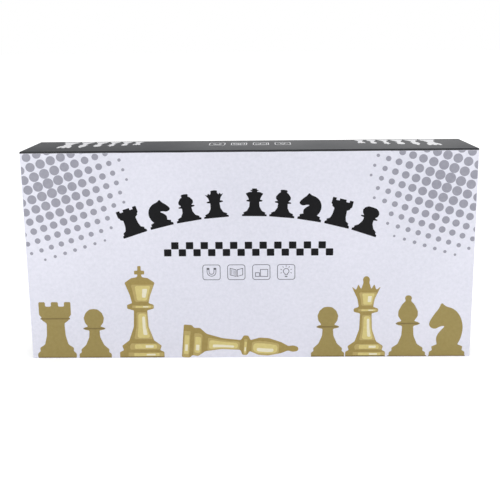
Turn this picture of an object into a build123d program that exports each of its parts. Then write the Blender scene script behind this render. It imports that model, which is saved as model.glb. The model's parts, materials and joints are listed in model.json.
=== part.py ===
"""A magnetic folding chess set, packed in its lift-off carton.

Millimetres. X runs along the carton, Y away from its printed front and Z up. The carton stands on a
long side, so the origin is the middle of its underside. The folded board stands inside with its
hinge at the top, and each half holds the men of one side, upright in a foam tray.
"""
from build123d import *
import os

os.makedirs("parts", exist_ok=True)

# Folding board
square_pitch = 41.5
square_groove = 0.1
side_border = 24.0
far_border = 22.6
spine_margin = 1.4
seam_gap = 0.3
rail_width = 12.0
panel_depth = 3.0
spine_chamfer = 1.2
corner_round = 2.0
steel_depth = 0.4
veneer_depth = 0.6
scoop_radius = 9.0
scoop_depth = 5.0

# Carton, built round the folded board
greyboard = 1.5
lid_gap = 0.4
seat_gap = 0.3
head_room = 3.4
front_room = 2.2
end_pad_length = 13.8
pad_gap = 0.3
rim_inset = 0.8
thumb_notch_radius = 12.0

# Foam trays, and the men's clearance to the seam, which give each half its depth
foam_gap = 0.3
foam_sink = 0.6
foam_floor = 1.0
slot_gap = 0.4
man_seam_gap = 0.45
tray_side_margin = 6.7
tray_far_margin = 14.0
row_gap = 31.0

# Hinges
hinge_x = 120.0
hinge_length = 40.0
middle_knuckle = 13.7
knuckle_gap = 0.3
knuckle_radius = 2.5
knuckle_clearance = 0.4
pin_radius = 1.1
pin_running_gap = 0.05
pin_head_radius = 1.7
pin_head_length = 0.8
leaf_reach = 14.0
leaf_thickness = 1.0
leaf_side_gap = 0.1
screw_spacing = 24.0
screw_reach = 8.5
screw_radius = 1.1
screw_head_radius = 2.1
screw_length = 9.0

# Catch magnets in the free edges
catch_spacing = 300.0
catch_radius = 3.0
catch_depth = 2.0

# Men
magnet_radius = 4.0
magnet_depth = 2.0
felt_inset = 0.7
felt_depth = 0.8
foot_height = 2.8
man_heights = {"pawn": 35.0, "rook": 41.0, "knight": 47.0, "bishop": 51.0, "queen": 57.0, "king": 63.0}
man_radii = {"pawn": 8.2, "rook": 9.0, "knight": 9.0, "bishop": 9.0, "queen": 9.5, "king": 9.5}
man_stems = {
    "pawn": {"radius": 3.0, "neck_z": 20.0, "collar": 5.6},
    "rook": {"radius": 4.6, "neck_z": 25.0, "collar": 6.8},
    "bishop": {"radius": 3.0, "neck_z": 30.0, "collar": 5.8},
    "queen": {"radius": 3.3, "neck_z": 36.0, "collar": 6.4},
    "king": {"radius": 3.5, "neck_z": 38.0, "collar": 6.8},
}
back_row = ["rook", "knight", "bishop", "queen", "king", "queen", "bishop", "knight", "rook"]
pawn_count = 8
turret_notches = 4
crown_notches = 8

# Places that follow from the sizes above
man_reach = man_seam_gap + max(man_radii.values())
half_depth = panel_depth + foam_floor + slot_gap + max(man_radii.values()) + man_reach
board_length = 8 * square_pitch + 2 * side_border
half_height = 4 * square_pitch + spine_margin + far_border
base_length = board_length + 2 * (pad_gap + end_pad_length + greyboard)
base_height = half_height + seat_gap + head_room + 2 * greyboard
carton_length = base_length + 2 * (lid_gap + greyboard)
carton_height = base_height + 2 * (lid_gap + greyboard)
carton_depth = 2 * (greyboard + half_depth) + seam_gap + seat_gap + front_room
front_y = -carton_depth / 2
back_y = carton_depth / 2
base_bottom_z = greyboard + lid_gap
board_bottom_z = base_bottom_z + greyboard + seat_gap
spine_z = board_bottom_z + half_height
board_back_y = back_y - greyboard - seat_gap
seam_y = board_back_y - half_depth - seam_gap / 2
base_rim_y = seam_y + rim_inset
hinge_z = spine_z + seam_gap / 2
panel_inner = half_depth - panel_depth
tray_length = board_length - 2 * (rail_width + foam_gap)
tray_height = half_height - 2 * (rail_width + foam_gap)
tray_bottom_z = board_bottom_z + rail_width + foam_gap
man_pitch = (tray_length - 2 * tray_side_margin) / len(back_row)
pawn_row_z = tray_bottom_z + tray_far_margin
back_row_z = pawn_row_z + man_heights["pawn"] + row_gap
play_bottom_z = spine_z - spine_margin - 4 * square_pitch
play_middle_z = spine_z - spine_margin - 2 * square_pitch
catch_z = board_bottom_z + rail_width / 2
hinge_places = [-hinge_x, hinge_x]

# A reach is a distance from the board's inner face, outward. side is 1 for the back half, -1 for the front
SIDES = {"back": 1, "front": -1}


def y_at(side, reach):
    return seam_y + side * (seam_gap / 2 + reach)


def block(x_range, y_range, z_range, mode=Mode.ADD):
    """A box between two values on each axis."""
    spans = [sorted(x_range), sorted(y_range), sorted(z_range)]
    middle = [(low + high) / 2 for low, high in spans]
    with Locations(tuple(middle)):
        Box(*[high - low for low, high in spans], mode=mode)


def rod_x(x_range, radius, y=seam_y, z=hinge_z, mode=Mode.ADD):
    """A cylinder along X, round the hinge line unless told otherwise."""
    with Locations(Location(((x_range[0] + x_range[1]) / 2, y, z), (0, 90, 0))):
        Cylinder(radius, abs(x_range[1] - x_range[0]), mode=mode)


def rod_y(x, z, y_range, radius, mode=Mode.ADD):
    """A cylinder along Y."""
    with Locations(Location((x, (y_range[0] + y_range[1]) / 2, z), (90, 0, 0))):
        Cylinder(radius, abs(y_range[1] - y_range[0]), mode=mode)


def cut_rail_fittings(side):
    """Cuts what the frame needs for its hinges, their screws, the catch magnets and the thumb scoop."""
    inner = y_at(side, 0)
    leaf_half = hinge_length / 2 + leaf_side_gap
    knuckle_half = hinge_length / 2 + pin_head_length + knuckle_gap
    for x in hinge_places:
        block(
            (x - leaf_half, x + leaf_half),
            (seam_y, seam_y + side * (leaf_reach + leaf_side_gap)),
            (spine_z - leaf_thickness, spine_z + leaf_thickness),
            Mode.SUBTRACT,
        )
        rod_x((x - knuckle_half, x + knuckle_half), knuckle_radius + knuckle_clearance,
              mode=Mode.SUBTRACT)
        for screw_x in (x - screw_spacing / 2, x + screw_spacing / 2):
            with Locations((screw_x, seam_y + side * screw_reach, spine_z - screw_length / 2)):
                Cylinder(screw_radius, screw_length, mode=Mode.SUBTRACT)
    for x in (-catch_spacing / 2, catch_spacing / 2):
        rod_y(x, catch_z, (inner, y_at(side, catch_depth)), catch_radius, Mode.SUBTRACT)
    rod_y(0, board_bottom_z, (seam_y, y_at(side, scoop_depth)), scoop_radius, Mode.SUBTRACT)


def men_places(side):
    """Where each kind of man stands in one half: its foot's middle, x, y and z."""
    y = y_at(side, man_reach)
    places = {kind: [] for kind in man_heights}
    for index, kind in enumerate(back_row):
        places[kind].append(((index - (len(back_row) - 1) / 2) * man_pitch, y, back_row_z))
    for index in range(pawn_count):
        places["pawn"].append(((index - (pawn_count - 1) / 2) * man_pitch, y, pawn_row_z))
    return places


def save(part, name):
    part.label = name
    export_step(part, f"parts/{name}.step")


# Lid: a full-depth tray of wrapped greyboard, open at the back, with a thumb notch in each end
with BuildPart() as lid_shell:
    block((-carton_length / 2, carton_length / 2), (front_y, back_y), (0, carton_height))
    block(
        (-carton_length / 2 + greyboard, carton_length / 2 - greyboard),
        (front_y + greyboard, back_y + greyboard),
        (greyboard, carton_height - greyboard),
        Mode.SUBTRACT,
    )
    notch_reach = carton_length / 2 + greyboard
    rod_x((-notch_reach, notch_reach), thumb_notch_radius, back_y, carton_height / 2, Mode.SUBTRACT)
save(lid_shell.part, "lid_shell")

# Base: a shallower tray whose rim stops at the board's seam, so that the front half can swing out
with BuildPart() as base_tray:
    block(
        (-base_length / 2, base_length / 2),
        (base_rim_y, back_y),
        (base_bottom_z, base_bottom_z + base_height),
    )
    block(
        (-base_length / 2 + greyboard, base_length / 2 - greyboard),
        (base_rim_y - greyboard, back_y - greyboard),
        (base_bottom_z + greyboard, base_bottom_z + base_height - greyboard),
        Mode.SUBTRACT,
    )
save(base_tray.part, "base_tray")

# End pads: foam blocks glued in the base, one beyond each end of the board
for name, side in {"left": -1, "right": 1}.items():
    with BuildPart() as end_pad:
        block(
            (side * (board_length / 2 + pad_gap), side * (base_length / 2 - greyboard)),
            (front_y + greyboard + pad_gap, back_y - greyboard),
            (base_bottom_z + greyboard, base_bottom_z + base_height - greyboard),
        )
        long_edges = end_pad.edges().filter_by(Axis.X).group_by(Axis.Y)[0]
        fillet(long_edges, corner_round)
    save(end_pad.part, f"end_pad_{name}")

# Each half of the board: a mitred frame, a panel with the playing squares over steel, and a foam tray
for name, side in SIDES.items():
    outer = y_at(side, half_depth)
    with BuildPart() as panel:
        block(
            (-board_length / 2, board_length / 2),
            (y_at(side, panel_inner), outer),
            (board_bottom_z, spine_z),
        )
        outer_face = panel.faces().sort_by(Axis.Y)[-1 if side > 0 else 0]
        chamfer(outer_face.edges().sort_by(Axis.Z)[-1], spine_chamfer)
        upright = panel.edges().filter_by(Axis.Y).group_by(Axis.Z)[0]
        fillet(upright, corner_round)
        block(
            (-4 * square_pitch, 4 * square_pitch),
            (outer - side * (steel_depth + veneer_depth), outer + side),
            (play_bottom_z, spine_z - spine_margin),
            Mode.SUBTRACT,
        )
    save(panel.part, f"{name}_panel")

    with BuildPart() as steel_sheet:
        block(
            (-4 * square_pitch, 4 * square_pitch),
            (outer - side * (steel_depth + veneer_depth), outer - side * veneer_depth),
            (play_bottom_z, spine_z - spine_margin),
        )
    save(steel_sheet.part, f"{name}_steel_sheet")

    for colour, parity in {"light": 0, "dark": 1}.items():
        centres = [
            ((column - 3.5) * square_pitch, outer - side * veneer_depth / 2,
             play_middle_z + (row - 1.5) * square_pitch)
            for column in range(8)
            for row in range(4)
            if (column + row + (side > 0)) % 2 == parity
        ]
        with BuildPart() as squares:
            with Locations(*centres):
                Box(square_pitch - square_groove, veneer_depth, square_pitch - square_groove)
        save(squares.part, f"{name}_{colour}_squares")

    inner = y_at(side, 0)
    outer_corners = [
        (-board_length / 2, board_bottom_z),
        (board_length / 2, board_bottom_z),
        (board_length / 2, spine_z),
        (-board_length / 2, spine_z),
    ]
    middle_z = (board_bottom_z + spine_z) / 2
    inner_corners = [
        (x - rail_width * (1 if x > 0 else -1), z - rail_width * (1 if z > middle_z else -1))
        for x, z in outer_corners
    ]
    frame_rails = []
    for index in range(4):
        after = (index + 1) % 4
        with BuildPart() as rail:
            with BuildSketch(Plane.XZ.offset(-max(inner, y_at(side, panel_inner)))):
                Polygon(
                    outer_corners[index],
                    outer_corners[after],
                    inner_corners[after],
                    inner_corners[index],
                    align=None,
                )
            extrude(amount=panel_inner)
            cut_rail_fittings(side)
        frame_rails.append(rail.part)
    save(Compound(children=frame_rails), f"{name}_rails")

    with BuildPart() as catch_magnets:
        for x in (-catch_spacing / 2, catch_spacing / 2):
            rod_y(x, catch_z, (inner, y_at(side, catch_depth)), catch_radius)
    save(catch_magnets.part, f"{name}_catch_magnets")

    with BuildPart() as foam_tray:
        block(
            (-tray_length / 2, tray_length / 2),
            (y_at(side, foam_sink), y_at(side, panel_inner)),
            (tray_bottom_z, tray_bottom_z + tray_height),
        )
        for kind, places in men_places(side).items():
            slot_radius = man_radii[kind] + slot_gap
            slot_length = man_heights[kind] + felt_depth + 2 * slot_gap
            for x, y, z in places:
                block(
                    (x - slot_radius, x + slot_radius),
                    (y, seam_y),
                    (z - slot_gap, z - slot_gap + slot_length),
                    Mode.SUBTRACT,
                )
                with Locations((x, y, z - slot_gap + slot_length / 2)):
                    Cylinder(slot_radius, slot_length, mode=Mode.SUBTRACT)
    save(foam_tray.part, f"{name}_foam_tray")

    # Hinge leaves lie in the spine; the back half has the two end knuckles and the front the middle one
    knuckle_end = middle_knuckle / 2 + knuckle_gap
    with BuildPart() as leaves:
        for x in hinge_places:
            block(
                (x - hinge_length / 2, x + hinge_length / 2),
                (seam_y, seam_y + side * leaf_reach),
                (spine_z - leaf_thickness, spine_z),
            )
            if side > 0:
                rod_x((x - hinge_length / 2, x - knuckle_end), knuckle_radius)
                rod_x((x + knuckle_end, x + hinge_length / 2), knuckle_radius)
                rod_x((x - knuckle_end, x + knuckle_end), knuckle_radius + knuckle_clearance,
                      mode=Mode.SUBTRACT)
            else:
                clearance = knuckle_radius + knuckle_clearance
                rod_x((x - hinge_length / 2, x - middle_knuckle / 2), clearance, mode=Mode.SUBTRACT)
                rod_x((x + middle_knuckle / 2, x + hinge_length / 2), clearance, mode=Mode.SUBTRACT)
                rod_x((x - middle_knuckle / 2, x + middle_knuckle / 2), knuckle_radius)
            rod_x((x - hinge_length, x + hinge_length), pin_radius + pin_running_gap, mode=Mode.SUBTRACT)
            for screw_x in (x - screw_spacing / 2, x + screw_spacing / 2):
                screw_y = seam_y + side * screw_reach
                with Locations((screw_x, screw_y, spine_z - leaf_thickness / 2)):
                    Cone(screw_radius, screw_head_radius, leaf_thickness, mode=Mode.SUBTRACT)
    save(leaves.part, f"{name}_hinge_leaves")

    with BuildPart() as screws:
        for x in hinge_places:
            for screw_x in (x - screw_spacing / 2, x + screw_spacing / 2):
                screw_y = seam_y + side * screw_reach
                with Locations((screw_x, screw_y, spine_z - leaf_thickness / 2)):
                    Cone(screw_radius, screw_head_radius, leaf_thickness)
                with Locations((screw_x, screw_y, spine_z - (screw_length + leaf_thickness) / 2)):
                    Cylinder(screw_radius, screw_length - leaf_thickness)
    save(screws.part, f"{name}_hinge_screws")

# Hinge pins, with a head beyond the knuckles at each end
with BuildPart() as hinge_pins:
    for x in hinge_places:
        rod_x((x - hinge_length / 2, x + hinge_length / 2), pin_radius)
        for end in (-1, 1):
            knuckle_face = x + end * hinge_length / 2
            rod_x((knuckle_face, knuckle_face + end * pin_head_length), pin_head_radius)
save(hinge_pins.part, "hinge_pins")


def turned_foot(radius):
    """The lines up a man's foot; gives back the bead at its top."""
    foot = Polyline((0, 0), (radius, 0), (radius, foot_height), (0.86 * radius, foot_height + 1.2))
    bead = ThreePointArc(foot @ 1, (0.9 * radius, foot_height + 2.3), (0.74 * radius, foot_height + 3.6))
    return bead


def turned_stem(start, kind):
    """The waist and the collar over it; gives back the collar's lines."""
    radius, neck_z, collar_radius = man_stems[kind].values()
    waist_z = start.Y + 0.4 * (neck_z - start.Y)
    waist = Spline((start.X, start.Y), (1.12 * radius, waist_z), (radius, neck_z))
    collar = Polyline(
        waist @ 1,
        (collar_radius, neck_z + 0.7),
        (collar_radius, neck_z + 1.6),
        (1.1 * radius, neck_z + 2.4),
    )
    return collar


def ball(start, radius, height):
    """A neck up from the last point and a ball round the axis, whose top is at the given height."""
    neck_radius = 0.6 * radius
    neck_z = height - 1.8 * radius
    Line(start, (neck_radius, neck_z))
    return ThreePointArc((neck_radius, neck_z), (radius, height - radius), (0, height))


def cut_crown(count, width, radius, top_z, depth):
    """Cuts notches, evenly spaced, in the rim of a crown or a turret."""
    with PolarLocations(radius, count):
        with Locations((0, 0, top_z - depth / 2)):
            Box(radius, width, depth, mode=Mode.SUBTRACT)


def make_man(kind):
    """One man, upright, with its foot at the origin and a pocket for its magnet."""
    height = man_heights[kind]
    radius = man_radii[kind]
    with BuildPart() as man:
        with BuildSketch(Plane.XZ):
            with BuildLine():
                bead = turned_foot(radius)
                if kind == "pawn":
                    collar = turned_stem(bead @ 1, kind)
                    head = ball(collar @ 1, 6.0, height)
                elif kind == "rook":
                    collar = turned_stem(bead @ 1, kind)
                    head = Polyline(
                        collar @ 1, (5.4, 30.0), (7.2, 32.0), (7.2, height), (4.6, height),
                        (4.6, height - 4.0), (0, height - 4.0),
                    )
                elif kind == "knight":
                    collar = Polyline(bead @ 1, (0.62 * radius, 8.0), (0.62 * radius, 9.4))
                    head = Line(collar @ 1, (0, 9.4))
                elif kind == "bishop":
                    collar = turned_stem(bead @ 1, kind)
                    mitre = Spline(collar @ 1, (5.3, 38.4), (1.3, height - 4.2))
                    head = ball(mitre @ 1, 2.0, height)
                elif kind == "queen":
                    collar = turned_stem(bead @ 1, kind)
                    crown = Spline(collar @ 1, (4.4, 44.0), (7.0, height - 6.0))
                    rim = Polyline(crown @ 1, (5.6, height - 5.2), (1.6, height - 4.4))
                    head = ball(rim @ 1, 2.0, height)
                else:
                    collar = turned_stem(bead @ 1, kind)
                    crown = Spline(collar @ 1, (4.6, 46.0), (6.6, height - 10.0))
                    rim = Polyline(crown @ 1, (5.8, height - 9.2))
                    dome = ThreePointArc(rim @ 1, (4.0, height - 7.2), (1.4, height - 6.4))
                    head = Line(dome @ 1, (0, height - 6.4))
                Line(head @ 1, (0, 0))
            make_face()
        revolve(axis=Axis.Z)
        if kind == "rook":
            cut_crown(turret_notches, 2.4, 7.0, height, 2.6)
        elif kind == "queen":
            cut_crown(crown_notches, 1.5, 8.4, height - 5.2, 1.8)
        elif kind == "bishop":
            with Locations(Location((3.4, 0, 41.5), (0, 50, 0))):
                Box(7.0, 12.0, 1.1, mode=Mode.SUBTRACT)
        elif kind == "king":
            with Locations((0, 0, height - 3.4)):
                Box(1.9, 1.7, 6.8)
                Box(5.2, 1.7, 1.9)
        elif kind == "knight":
            with BuildSketch(Plane.XZ.offset(-3.6)):
                with BuildLine():
                    Spline((-4.9, 9.0), (-3.6, 16.0), (-1.2, 24.5))
                    Polyline((-1.2, 24.5), (-4.0, 26.6), (-7.4, 24.6), (-8.6, 27.4))
                    Spline((-8.6, 27.4), (-6.4, 33.6), (-3.6, 40.4))
                    Polyline((-3.6, 40.4), (-1.6, height), (0.4, 41.8))
                    Spline((0.4, 41.8), (5.4, 35.0), (6.9, 25.0), (5.0, 9.0))
                    Line((5.0, 9.0), (-4.9, 9.0))
                make_face()
            extrude(amount=7.2)
        with Locations((0, 0, magnet_depth / 2)):
            Cylinder(magnet_radius, magnet_depth, mode=Mode.SUBTRACT)
    return man.part


# The men of each side, with a magnet in each foot and a felt disc under it
man_shapes = {kind: make_man(kind) for kind in man_heights}
for colour, side in {"dark": 1, "light": -1}.items():
    for kind, places in men_places(side).items():
        name = f"{colour}_{kind}" if len(places) == 1 else f"{colour}_{kind}s"
        feet = [(x, y, z + felt_depth) for x, y, z in places]
        with BuildPart() as men:
            with Locations(*feet):
                add(man_shapes[kind])
        save(men.part, name)

        with BuildPart() as magnets:
            with Locations(*[(x, y, z + magnet_depth / 2) for x, y, z in feet]):
                Cylinder(magnet_radius, magnet_depth)
        save(magnets.part, f"{colour}_{kind}_magnet" + ("s" if len(places) > 1 else ""))

        with BuildPart() as felts:
            with Locations(*[(x, y, z + felt_depth / 2) for x, y, z in places]):
                Cylinder(man_radii[kind] - felt_inset, felt_depth)
        save(felts.part, f"{colour}_{kind}_felt" + ("s" if len(places) > 1 else ""))
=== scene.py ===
# %% [markdown]
# # A magnetic chess set in its printed carton
# The object is a rigid carton of wrapped greyboard that stands on a long side. Inside it lies a
# folding wooden board, and in each half of the board a foam tray holds the men of one side.
# This lesson dresses the measured frame: paper and ink for the carton, and veneer, brass, foam and
# felt for what it holds. Every place is taken from the frame, in metres.

# %% The frame and its outer box
import json
import math

import bpy
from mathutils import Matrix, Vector

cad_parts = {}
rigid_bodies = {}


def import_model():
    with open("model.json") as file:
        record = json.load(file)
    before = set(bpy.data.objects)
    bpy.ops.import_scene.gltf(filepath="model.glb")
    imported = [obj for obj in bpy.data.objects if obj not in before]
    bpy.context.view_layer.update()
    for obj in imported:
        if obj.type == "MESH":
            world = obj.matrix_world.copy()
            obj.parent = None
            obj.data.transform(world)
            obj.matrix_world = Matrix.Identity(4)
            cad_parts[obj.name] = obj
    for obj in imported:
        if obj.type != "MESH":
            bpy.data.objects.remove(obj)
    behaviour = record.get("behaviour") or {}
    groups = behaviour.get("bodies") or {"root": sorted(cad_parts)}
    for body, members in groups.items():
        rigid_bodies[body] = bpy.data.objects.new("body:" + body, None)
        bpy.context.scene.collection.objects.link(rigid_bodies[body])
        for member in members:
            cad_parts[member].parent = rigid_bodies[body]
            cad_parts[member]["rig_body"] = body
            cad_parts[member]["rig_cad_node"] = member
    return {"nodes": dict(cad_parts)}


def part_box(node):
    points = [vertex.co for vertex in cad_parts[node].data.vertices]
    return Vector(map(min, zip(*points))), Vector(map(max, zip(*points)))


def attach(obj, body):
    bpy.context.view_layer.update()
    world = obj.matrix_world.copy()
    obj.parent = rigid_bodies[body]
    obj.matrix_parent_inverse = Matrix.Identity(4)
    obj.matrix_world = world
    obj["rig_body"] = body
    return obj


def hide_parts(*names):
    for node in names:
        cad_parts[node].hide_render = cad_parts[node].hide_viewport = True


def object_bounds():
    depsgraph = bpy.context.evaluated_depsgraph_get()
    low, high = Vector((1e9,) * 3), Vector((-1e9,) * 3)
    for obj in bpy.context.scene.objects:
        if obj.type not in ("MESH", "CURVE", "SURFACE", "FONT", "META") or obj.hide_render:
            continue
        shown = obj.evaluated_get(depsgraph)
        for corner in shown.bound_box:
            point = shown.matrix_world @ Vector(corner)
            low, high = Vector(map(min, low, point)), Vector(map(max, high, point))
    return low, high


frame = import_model()
cad_low, cad_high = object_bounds()
MM = 0.001
print("frame", [round(v / MM, 1) for v in cad_high - cad_low])

# %% [markdown]
# ## Working by hand, in code
# An operator acts on what is selected, so each step first clears the selection. These helpers do that,
# and apply each modifier at once, so that every piece ends as a plain mesh with its place in it. Faces
# and edges are picked by a rule on their place or normal, where a hand would click on them.


# %% Selecting, applying and joining
def select_only(*objects):
    """Selects these objects alone and makes the first one active."""
    bpy.ops.object.select_all(action="DESELECT")
    for item in objects:
        item.select_set(True)
    bpy.context.view_layer.objects.active = objects[0]


def bake_place(item):
    """Moves an object's place, turn and scale into its mesh."""
    select_only(item)
    bpy.ops.object.transform_apply(location=True, rotation=True, scale=True)


def apply_modifier(item, kind, **settings):
    """Adds a modifier, sets it and applies it."""
    select_only(item)
    modifier = item.modifiers.new(kind.lower(), kind)
    for key, value in settings.items():
        setattr(modifier, key, value)
    bpy.ops.object.modifier_apply(modifier=modifier.name)


def join(name, items):
    """Joins several meshes into one and names it."""
    select_only(*items)
    if len(items) > 1:
        bpy.ops.object.join()
    whole = bpy.context.view_layer.objects.active
    whole.name = name
    whole.data.name = name
    return whole


def pick(item, parts, rule):
    """Selects the active object's polygons or edges that a rule picks, and stays in edit mode."""
    bpy.ops.object.mode_set(mode="EDIT")
    bpy.ops.mesh.select_all(action="DESELECT")
    bpy.ops.object.mode_set(mode="OBJECT")
    for part in getattr(item.data, parts):
        part.select = rule(part)
    bpy.ops.object.mode_set(mode="EDIT")


# %% [markdown]
# ## Colours as they look
# Colours read off a print are display values. The shader wants linear light, so they are converted
# once, here, by the standard display curve.


# %% Colour conversion
def display(red, green, blue):
    """Turns a display colour, 0 to 255, into linear light with an alpha of 1."""
    def linear(value):
        share = value / 255
        return share / 12.92 if share <= 0.04045 else ((share + 0.055) / 1.055) ** 2.4
    return (linear(red), linear(green), linear(blue), 1)


# %% [markdown]
# ## A kit for surface effects
# A finish is a tree of nodes. They could be placed one by one in every material, but most trees here
# need the same few, so small helpers place and wire them: a maths step, a noise, a colour ramp. What
# more than one material shares becomes a node group, which is built once and placed where it is used.


# %% A small kit for node groups and materials
def new_group(name, inputs, outputs):
    """Starts a shader node group with named inputs and outputs, all plain numbers."""
    group = bpy.data.node_groups.new(name, "ShaderNodeTree")
    for label, value in inputs.items():
        socket = group.interface.new_socket(label, in_out="INPUT", socket_type="NodeSocketFloat")
        socket.default_value = value
    for label in outputs:
        group.interface.new_socket(label, in_out="OUTPUT", socket_type="NodeSocketFloat")
    start = group.nodes.new("NodeGroupInput")
    end = group.nodes.new("NodeGroupOutput")
    return group, start, end


def set_or_link(tree, value, socket):
    """Puts a plain number on a socket, or wires another socket to it."""
    if isinstance(value, (int, float)):
        socket.default_value = value
    else:
        tree.links.new(value, socket)


def math_node(tree, operation, first, second=0.0):
    """A maths node; each side is a socket or a plain number."""
    node = tree.nodes.new("ShaderNodeMath")
    node.operation = operation
    set_or_link(tree, first, node.inputs[0])
    set_or_link(tree, second, node.inputs[1])
    return node.outputs[0]


def object_coordinates(tree, scale=None):
    """Object coordinates, through a Mapping node where a scale is given."""
    coordinates = tree.nodes.new("ShaderNodeTexCoord").outputs["Object"]
    if scale is None:
        return coordinates
    mapping = tree.nodes.new("ShaderNodeMapping")
    mapping.inputs["Scale"].default_value = scale
    tree.links.new(coordinates, mapping.inputs["Vector"])
    return mapping.outputs["Vector"]


def noise(tree, vector, scale, detail=3.0, roughness=0.5, distortion=0.0):
    """A noise texture's factor; the scale is a socket or a plain number."""
    node = tree.nodes.new("ShaderNodeTexNoise")
    set_or_link(tree, scale, node.inputs["Scale"])
    node.inputs["Detail"].default_value = detail
    node.inputs["Roughness"].default_value = roughness
    node.inputs["Distortion"].default_value = distortion
    tree.links.new(vector, node.inputs["Vector"])
    return node.outputs["Fac"]


def ramp(tree, factor, stops):
    """A colour ramp from (position, colour) stops."""
    node = tree.nodes.new("ShaderNodeValToRGB")
    elements = node.color_ramp.elements
    while len(elements) < len(stops):
        elements.new(0.5)
    for element, (position, colour) in zip(elements, stops):
        element.position = position
        element.color = colour
    tree.links.new(factor, node.inputs["Fac"])
    return node.outputs["Color"]


def multiplied(tree, colour, tint, amount):
    """One colour multiplied by another, by an amount from 0 to 1."""
    node = tree.nodes.new("ShaderNodeMix")
    node.data_type = "RGBA"
    node.blend_type = "MULTIPLY"
    node.inputs["Factor"].default_value = amount
    tree.links.new(colour, node.inputs["A"])
    tree.links.new(tint, node.inputs["B"])
    return node.outputs["Result"]


# %% [markdown]
# ## Linen emboss and nap
# The wrapping paper is rolled with a faint linen weave, and liner, foam and felt have a nap. Both could
# be modelled, but they are finer than any mesh here, so each is a group that gives a height for a bump.
# The weave is two noises, each drawn out along its own threads, and it also gives a slow cloud for the
# gloss and a fleck for the tone.

# %% Two groups
THREAD_STRETCHES = ((1, 1, 0.12), (0.12, 0.12, 1))

linen, start, end = new_group("linen_emboss", {"Threads": 1500.0}, ("Height", "Cloud", "Fleck"))
threads = start.outputs["Threads"]
weave = [
    noise(linen, object_coordinates(linen, stretch), threads, detail=2.0)
    for stretch in THREAD_STRETCHES
]
cloud = noise(linen, object_coordinates(linen), 9.0, detail=4.0)
fine = noise(linen, object_coordinates(linen), 330.0, detail=3.0, roughness=0.6)
cloud_share = math_node(linen, "MULTIPLY", cloud, 0.4)
fine_share = math_node(linen, "MULTIPLY", fine, 0.6)
linen.links.new(math_node(linen, "ADD", *weave), end.inputs["Height"])
linen.links.new(cloud, end.inputs["Cloud"])
linen.links.new(math_node(linen, "ADD", cloud_share, fine_share), end.inputs["Fleck"])

nap, start, end = new_group("nap", {"Fineness": 900.0}, ("Height",))
pile = noise(nap, object_coordinates(nap), start.outputs["Fineness"], detail=6.0, roughness=0.7)
nap.links.new(pile, end.inputs["Height"])
print("groups", [group.name for group in bpy.data.node_groups])


# %% [markdown]
# ## Starting a finish
# Each finish is one Principled surface. Its plain numbers stay on the shader itself, and only what
# changes over the surface is wired in, so that the finish can be baked later without loss.


# %% Starting a material and adding a bump
def start_finish(name, **values):
    """A new material with one Principled surface; gives back the material, its tree and the shader."""
    material = bpy.data.materials.new(name)
    material.use_nodes = True
    shader = material.node_tree.nodes["Principled BSDF"]
    for label, value in values.items():
        shader.inputs[label.replace("_", " ")].default_value = value
    return material, material.node_tree, shader


def use_group(tree, group, **values):
    """Places a shared effect in a material, with its own values."""
    node = tree.nodes.new("ShaderNodeGroup")
    node.node_tree = group
    for label, value in values.items():
        node.inputs[label].default_value = value
    return node


def add_bump(tree, shader, height, strength, distance):
    """Feeds a height into the shader's normal."""
    bump = tree.nodes.new("ShaderNodeBump")
    bump.inputs["Strength"].default_value = strength
    bump.inputs["Distance"].default_value = distance
    tree.links.new(height, bump.inputs["Height"])
    tree.links.new(bump.outputs["Normal"], shader.inputs["Normal"])


def wear_as_roughness(tree, shader, value, low, high):
    """Maps the middle of a noise, 0.3 to 0.7, onto a range of roughness."""
    spread = tree.nodes.new("ShaderNodeMapRange")
    spread.inputs["From Min"].default_value = 0.3
    spread.inputs["From Max"].default_value = 0.7
    spread.inputs["To Min"].default_value = low
    spread.inputs["To Max"].default_value = high
    tree.links.new(value, spread.inputs["Value"])
    tree.links.new(spread.outputs["Result"], shader.inputs["Roughness"])


# %% [markdown]
# ## Wrapping paper
# The carton is covered with one printed sheet. Its front is a cool white with a fine linen emboss, its
# sides a near-black satin ink, and the ink runs a little way over the top crease on to the front. The
# wrong side and the turned-in rim show inside. The places where one gives way to the next could be cut
# into the mesh, but ink has no edge to cut, so they are masks on Object coordinates, which stay put on
# the sheet from every side.


# %% Paper and ink finishes
CREASE_INK_Z = cad_high.z - 1.7 * MM
TURN_IN_Y = cad_high.y - 16 * MM
FIBRE_DEPTH = 0.1 * MM


def linen_finish(name, low, high, rough=0.4, specular=0.35, spread=0.04, strength=0.35):
    """Paper or ink whose tone and gloss vary a little with the linen emboss."""
    material, tree, shader = start_finish(name, Specular_IOR_Level=specular)
    emboss = use_group(tree, linen)
    colour = ramp(tree, emboss.outputs["Fleck"], [(0.34, display(*low)), (0.66, display(*high))])
    tree.links.new(colour, shader.inputs["Base Color"])
    wear_as_roughness(tree, shader, emboss.outputs["Cloud"], rough - spread, rough + spread)
    add_bump(tree, shader, emboss.outputs["Height"], strength, FIBRE_DEPTH)
    return material


def liner_finish(name):
    """Matt liner board with short fibres."""
    material, tree, shader = start_finish(name, Specular_IOR_Level=0.2)
    fibre = use_group(tree, nap, Fineness=500.0).outputs["Height"]
    colour = ramp(tree, fibre, [(0.3, display(196, 190, 178)), (0.7, display(226, 222, 212))])
    tree.links.new(colour, shader.inputs["Base Color"])
    wear_as_roughness(tree, shader, fibre, 0.75, 0.9)
    add_bump(tree, shader, fibre, 0.3, FIBRE_DEPTH)
    return material


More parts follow.
